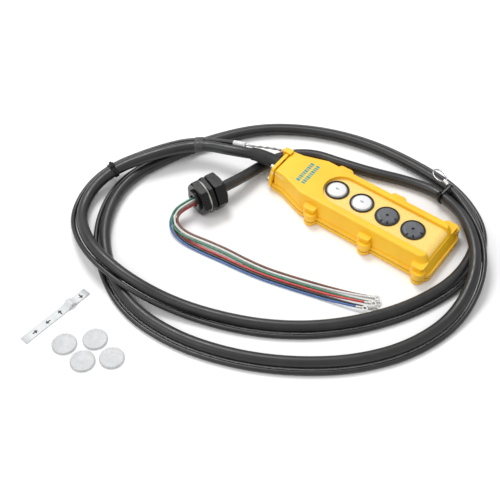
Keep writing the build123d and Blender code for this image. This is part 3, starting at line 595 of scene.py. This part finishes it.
tie_l = strap("tie_left", (-0.2395, -0.110, 0.012), 3.8 * MM, 1.1 * MM, 0.3 * MM,
              NYLON, "cable_tie_left", lock=math.radians(-100))
tie_r = strap("tie_right", (0.057, 0.068, 0.010), 3.8 * MM, 1.1 * MM, 0.3 * MM,
              NYLON, "cable_tie_right", lock=math.radians(-100))
tape = strap("tape_band", (-0.186, -0.031, 0.020), 6.0 * MM, 0.5 * MM, 0.1 * MM,
             TAPE, "cable_tape_band", wraps=3)

# ------------------------------------------ bare strain wire at the pendant
start = Vector(WIRE[0])
start_dir = (start - Vector(WIRE[1])).normalized()
sleeve_st = []
for k in range(25):
    f = k / 24
    r = 3.05 - 0.22 * abs(math.sin(f * math.pi * 2)) - (0.45 if k in (0, 24) else 0)
    sleeve_st.append((start + start_dir * (f * 14.0 - 1.5) * MM, start_dir, r * MM))
sleeve = rings("wire_sleeve", sleeve_st, SLEEVE, 28)
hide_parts("strain_wire_ferrule")
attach(sleeve, "pendant")

ROPE = [tuple(start + start_dir * 11.1 * MM), tuple(start + start_dir * 19.1 * MM),
        (-0.1155, 0.0080, 0.0270), (-0.1101, 0.0122, 0.0238)]
rope_line = line_of(ROPE)
rope_len = length_of(rope_line)
rope_verts, rope_faces = [], []
steps = 90
for strand in range(2):
    base = len(rope_verts)
    side0 = None
    for k in range(steps + 1):
        s = rope_len * k / steps
        c, d = at(rope_line, s)
        if side0 is None:
            side0 = d.orthogonal().normalized()
        side0 = (side0 - d * side0.dot(d)).normalized()
        up0 = d.cross(side0)
        t = 2 * math.pi * s / (16 * MM) + strand * math.pi
        cc = c + (side0 * math.cos(t) + up0 * math.sin(t)) * 0.72 * MM
        for j in range(12):
            u = 2 * math.pi * j / 12
            rr = 0.7 * MM * (1 + 0.1 * math.cos(6 * (u + s / (1.1 * MM))))
            rope_verts.append(cc + (side0 * math.cos(u) + up0 * math.sin(u)) * rr)
    for k in range(steps):
        for j in range(12):
            a, b = base + k * 12 + j, base + k * 12 + (j + 1) % 12
            rope_faces.append((a, b, b + 12, a + 12))
    rope_faces.append(tuple(base + j for j in range(12)))
    rope_faces.append(tuple(base + steps * 12 + j for j in range(12)))
rope = new_object("steel_strand", rope_verts, rope_faces, WIRE_STEEL)
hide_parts("strain_wire_rope")
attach(rope, "pendant")

# ------------------------------------------------- end loop of strain wire
end = Vector(WIRE[-1])
end_dir = (end - Vector(WIRE[-2])).normalized()
flat = Vector((end_dir.x, end_dir.y, 0)).normalized()
crimp_st = []
for k in range(25):
    f = k / 24
    r = 2.3 - 0.3 * (0.5 + 0.5 * math.cos(f * math.pi * 6)) - (0.4 if k in (0, 24) else 0)
    crimp_st.append((end + end_dir * (f * 8.4 - 0.2) * MM, end_dir, r * MM))
crimp = rings("loop_crimp", crimp_st, TIN, 28)
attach(crimp, "pendant")
loop_c = end + end_dir * 16.6 * MM
loop_c.z = (end + end_dir * 16.6 * MM).z
lv, lf = [], []
sd = Vector((-flat.y, flat.x, 0))
N = 120
for k in range(N):
    t = 2 * math.pi * k / N
    c = loop_c + flat * 9.2 * MM * math.cos(t) + sd * 5.8 * MM * math.sin(t)
    tg = (-flat * 9.2 * math.sin(t) + sd * 5.8 * math.cos(t)).normalized()
    nrm = tg.cross(Vector((0, 0, 1)))
    for j in range(12):
        u = 2 * math.pi * j / 12
        rr = 0.78 * MM * (1 + 0.1 * math.cos(6 * u + 2 * math.pi * k / 6))
        lv.append(c + nrm * math.cos(u) * rr + Vector((0, 0, 1)) * math.sin(u) * rr)
for k in range(N):
    for j in range(12):
        a, b = k * 12 + j, k * 12 + (j + 1) % 12
        a2, b2 = ((k + 1) % N) * 12 + j, ((k + 1) % N) * 12 + (j + 1) % 12
        lf.append((a, b, b2, a2))
eye = new_object("wire_eye", lv, lf, WIRE_STEEL)
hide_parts("strain_wire_loop")
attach(eye, "pendant")

# ------------------------------------------------------------- button caps
BX = [-31.0, -1.0, 29.0, 59.0]


def cap(i, x, white):
    prof = ([(0.0, 26.28), (2.5, 26.25), (4.8, 26.1), (6.8, 25.85), (8.2, 25.55),
             (9.3, 25.2), (9.9, 24.9), (10.3, 24.75), (10.7, 24.55), (10.92, 24.2),
             (10.98, 23.7), (10.98, 18.62), (9.62, 18.62), (9.62, 23.4), (0.0, 23.4)]
            if white else
            [(0.0, 25.0), (1.45, 25.0), (1.5, 25.95), (1.65, 26.1), (4.0, 26.1),
             (8.0, 26.1), (9.0, 26.08), (9.3, 26.0), (9.6, 25.7), (10.7, 25.05),
             (10.95, 24.8), (10.98, 24.3), (10.98, 18.62), (9.62, 18.62),
             (9.62, 23.4), (0.0, 23.4)])
    seg = 96
    verts, faces, idx = [], [], []
    for r, z in prof:
        for k in range(seg):
            t = 2 * math.pi * k / seg
            zz = z
            if not white and 8.5 < r < 10.8 and z > 25.0:
                # notches in the rim
                deg = math.degrees(t) % 360
                for c in (262, 302, 2):
                    if abs((deg - c + 180) % 360 - 180) < 6.5:
                        zz = z - 0.9
            verts.append(((x + r * math.cos(t)) * MM, r * math.sin(t) * MM, zz * MM))
    n = len(prof)
    for j in range(n - 1):
        for k in range(seg):
            a, b = j * seg + k, j * seg + (k + 1) % seg
            if prof[j][0] == 0.0:
                if k == 0:
                    pass
                faces.append((a, b + seg, a + seg))
            elif prof[j + 1][0] == 0.0:
                faces.append((a, b, b + seg))
            else:
                faces.append((a, b, b + seg, a + seg))
            r, z = prof[j + 1]
            if white:
                # painted shade: the white cap's rounded edge and side wall below the top take the rim colour
                idx.append(1 if (9.8 < r and z < 24.95) else 0)
            else:
                # painted shade: the notch faces, the centre hole and the side wall below the rim get the black
                # material, where shade falls in these recesses and under the rim
                deg = (360 * (k + 0.5) / seg) % 360
                hit = any(abs((deg - c + 180) % 360 - 180) < 5.8
                          for c in (262, 302, 2))
                idx.append(1 if ((8.5 < r < 10.8 and z > 25.0 and hit) or r < 1.55
                                 or (z < 24.9 and r > 10.9)) else 0)
    o = new_object("cap_%d" % i, verts, faces, None,
                   mats=[WHITE_CAP, CAP_RIM_AND_SHADE] if white else [GREY_CAP, DARK_AND_SHADE],
                   index=idx)
    bm = bmesh.new()
    bm.from_mesh(o.data)
    bmesh.ops.remove_doubles(bm, verts=bm.verts, dist=1e-7)
    bmesh.ops.recalc_face_normals(bm, faces=bm.faces)
    bm.to_mesh(o.data)
    bm.free()
    sharpen(o, 40)
    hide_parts("button_cap_%d" % i)
    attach(o, "button_%d" % i)
    if white:
        # a plain arrow printed on the cap
        sgn = -1 if i == 1 else 1
        pts = [(0.0, 2.3), (1.9, -0.2), (0.75, -0.2), (0.75, -2.2), (-0.75, -2.2),
               (-0.75, -0.2), (-1.9, -0.2)]
        v = [((x + sgn * py) * MM, px * MM, 26.30 * MM) for px, py in pts]
        v += [((x + sgn * py) * MM, px * MM, 26.2 * MM) for px, py in pts]
        k = len(pts)
        f = [tuple(range(k)), tuple(range(k, 2 * k))]
        f += [(j, (j + 1) % k, (j + 1) % k + k, j + k) for j in range(k)]
        a = new_object("cap_%d_mark" % i, v, f, MARK, False)
        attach(a, "button_%d" % i)


for i, x in enumerate(BX):
    cap(i + 1, x, i < 2)


# -------------------------------------------------- printed mark on the head
marks_v, marks_f = [], []
for row, x0 in enumerate((-72.6, -65.8)):
    y = -15.5
    widths = [3.2, 1.6, 2.6, 1.4, 2.2, 2.8, 1.5, 2.4, 2.0, 2.9] if row == 0 else \
             [2.2, 2.6, 1.6, 2.9, 1.5, 2.4, 2.8, 1.8, 2.2, 2.6]
    for w in widths:
        if y + w > 14.6:
            break
        base = len(marks_v)
        for zz in (26.9, 27.03):
            marks_v += [(x0, y, zz), (x0 + 4.6, y, zz), (x0 + 4.6, y + w, zz), (x0, y + w, zz)]
        marks_f += [tuple(base + k for k in q) for q in
                    ((0, 1, 2, 3), (4, 5, 6, 7), (0, 1, 5, 4), (1, 2, 6, 5), (2, 3, 7, 6), (3, 0, 4, 7))]
        y += w + 0.75
mark = new_object("head_mark", [tuple(c * MM for c in p) for p in marks_v], marks_f, TEAL, False)
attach(mark, "pendant")

# ------------------------------------------------------------ legend strip
s0, s1 = Vector((-0.1717, -0.3164, 0)), Vector((-0.1636, -0.2377, 0))
sdir = (s1 - s0).normalized()
sside = Vector((0, 0, 1)).cross(sdir)
prof = [(0, 0.3), (8, 0.18), (20, 0.12), (34, 0.15), (46, 0.16), (52.0, 0.3), (54.0, 1.4),
        (56.2, 3.8), (57.6, 4.9), (59.0, 4.1), (61.5, 1.9), (63.6, 0.6), (66, 0.25),
        (72, 0.3), (79, 0.8)]
sv, sf = [], []
cols = 6
for s, z in prof:
    for j in range(cols + 1):
        w = (j / cols - 0.5) * 9.2
        curl = 0.25 * abs(w / 4.6) ** 2 * (1 if 52 < s < 64 else 0.2)
        for t in (0.0, 0.28):
            sv.append(s0 + sdir * s * MM + sside * w * MM + Vector((0, 0, (z + curl + t) * MM)))
q = (cols + 1) * 2
for i in range(len(prof) - 1):
    for j in range(cols):
        a = i * q + j * 2
        sf.append((a + 1, a + 3, a + 3 + q, a + 1 + q))
        sf.append((a, a + 2, a + 2 + q, a + q))
    sf.append((i * q, i * q + 1, i * q + 1 + q, i * q + q))
    a = i * q + cols * 2
    sf.append((a, a + 1, a + 1 + q, a + q))
for i in (0, len(prof) - 1):
    for j in range(cols):
        a = i * q + j * 2
        sf.append((a, a + 1, a + 3, a + 2))
strip = new_object("marked_strip", sv, sf, CARD)
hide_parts("legend_strip")
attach(strip, "pendant")
# plain arrows printed on the strip, one for each direction
ARROW = [(-2.7, -0.65), (0.1, -0.65), (0.1, -2.4), (2.9, 0.0), (0.1, 2.4), (0.1, 0.65),
         (-2.7, 0.65)]
for i, (turn, s, z) in enumerate(((0, 14.0, 0.47), (180, 30.0, 0.44), (90, 45.0, 0.52),
                                  (270, 71.0, 0.62))):
    ca, sa = math.cos(math.radians(turn)), math.sin(math.radians(turn))
    flat_pts = [(u * ca - v * sa, u * sa + v * ca) for u, v in ARROW]
    av = [s0 + sdir * (s + u) * MM + sside * v * MM + Vector((0, 0, (z + t) * MM))
          for t in (0.0, 0.06) for u, v in flat_pts]
    n = len(flat_pts)
    af = [tuple(range(n)), tuple(range(n, 2 * n))]
    af += [(j, (j + 1) % n, (j + 1) % n + n, j + n) for j in range(n)]
    o = new_object("strip_arrow_%d" % (i + 1), av, af, INK, False)
    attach(o, "pendant")

# ------------------------------------------------------------ core lengths, computed and not kept
for key, o in core_objects.items():
    length_of(line_of(CORES[key]))

# ------------------------------------------------------ floor, lights, camera
floor_me = bpy.data.meshes.new("floor")
R = 6.0
floor_me.from_pydata([(-R, -R, 0), (R, -R, 0), (R, R, 0), (-R, R, 0)], [], [(0, 1, 2, 3)])
floor = bpy.data.objects.new("floor", floor_me)
bpy.context.scene.collection.objects.link(floor)
fm, fnt, fb = material("floor_paper")
finish_material(fnt, fb, (0.93, 0.93, 0.93), (0.95, 0.95, 0.95), 3, (0.7, 0.8), 300,
                (0.05, 0.0001))
fb.inputs["Specular IOR Level"].default_value = 0.2
floor_me.materials.append(fm)

world = bpy.data.worlds.new("studio")
bpy.context.scene.world = world
world.use_nodes = True
bg = world.node_tree.nodes["Background"]
bg.inputs["Color"].default_value = (1.0, 1.0, 1.0, 1.0)
bg.inputs["Strength"].default_value = 0.74


def area(name, loc, target, size, power):
    li = bpy.data.lights.new(name, "AREA")
    li.shape = "DISK"
    li.size = size
    li.energy = power
    o = bpy.data.objects.new(name, li)
    bpy.context.scene.collection.objects.link(o)
    o.location = loc
    o.rotation_mode = "QUATERNION"
    o.rotation_quaternion = (Vector(target) - Vector(loc)).to_track_quat("-Z", "Y")
    return o


area("key", (-0.75, 0.35, 1.35), (0, 0, 0), 0.7, 12.5)
area("fill", (-0.5, -1.0, 1.0), (0, 0, 0), 0.9, 4.0)

cam_data = bpy.data.cameras.new("camera")
cam_data.lens = 72.0
cam_data.sensor_width = 36.0
cam_data.clip_start, cam_data.clip_end = 0.01, 50.0
cam = bpy.data.objects.new("camera", cam_data)
bpy.context.scene.collection.objects.link(cam)
el = math.radians(51.0)
cam.location = (0.3107, -0.6098, 0.7824)
fwd = Vector((-0.5964 * math.cos(el), 0.8027 * math.cos(el), -math.sin(el)))
cam.rotation_mode = "QUATERNION"
cam.rotation_quaternion = fwd.to_track_quat("-Z", "Y")
bpy.context.scene.camera = cam
bpy.context.scene.view_settings.view_transform = "Standard"
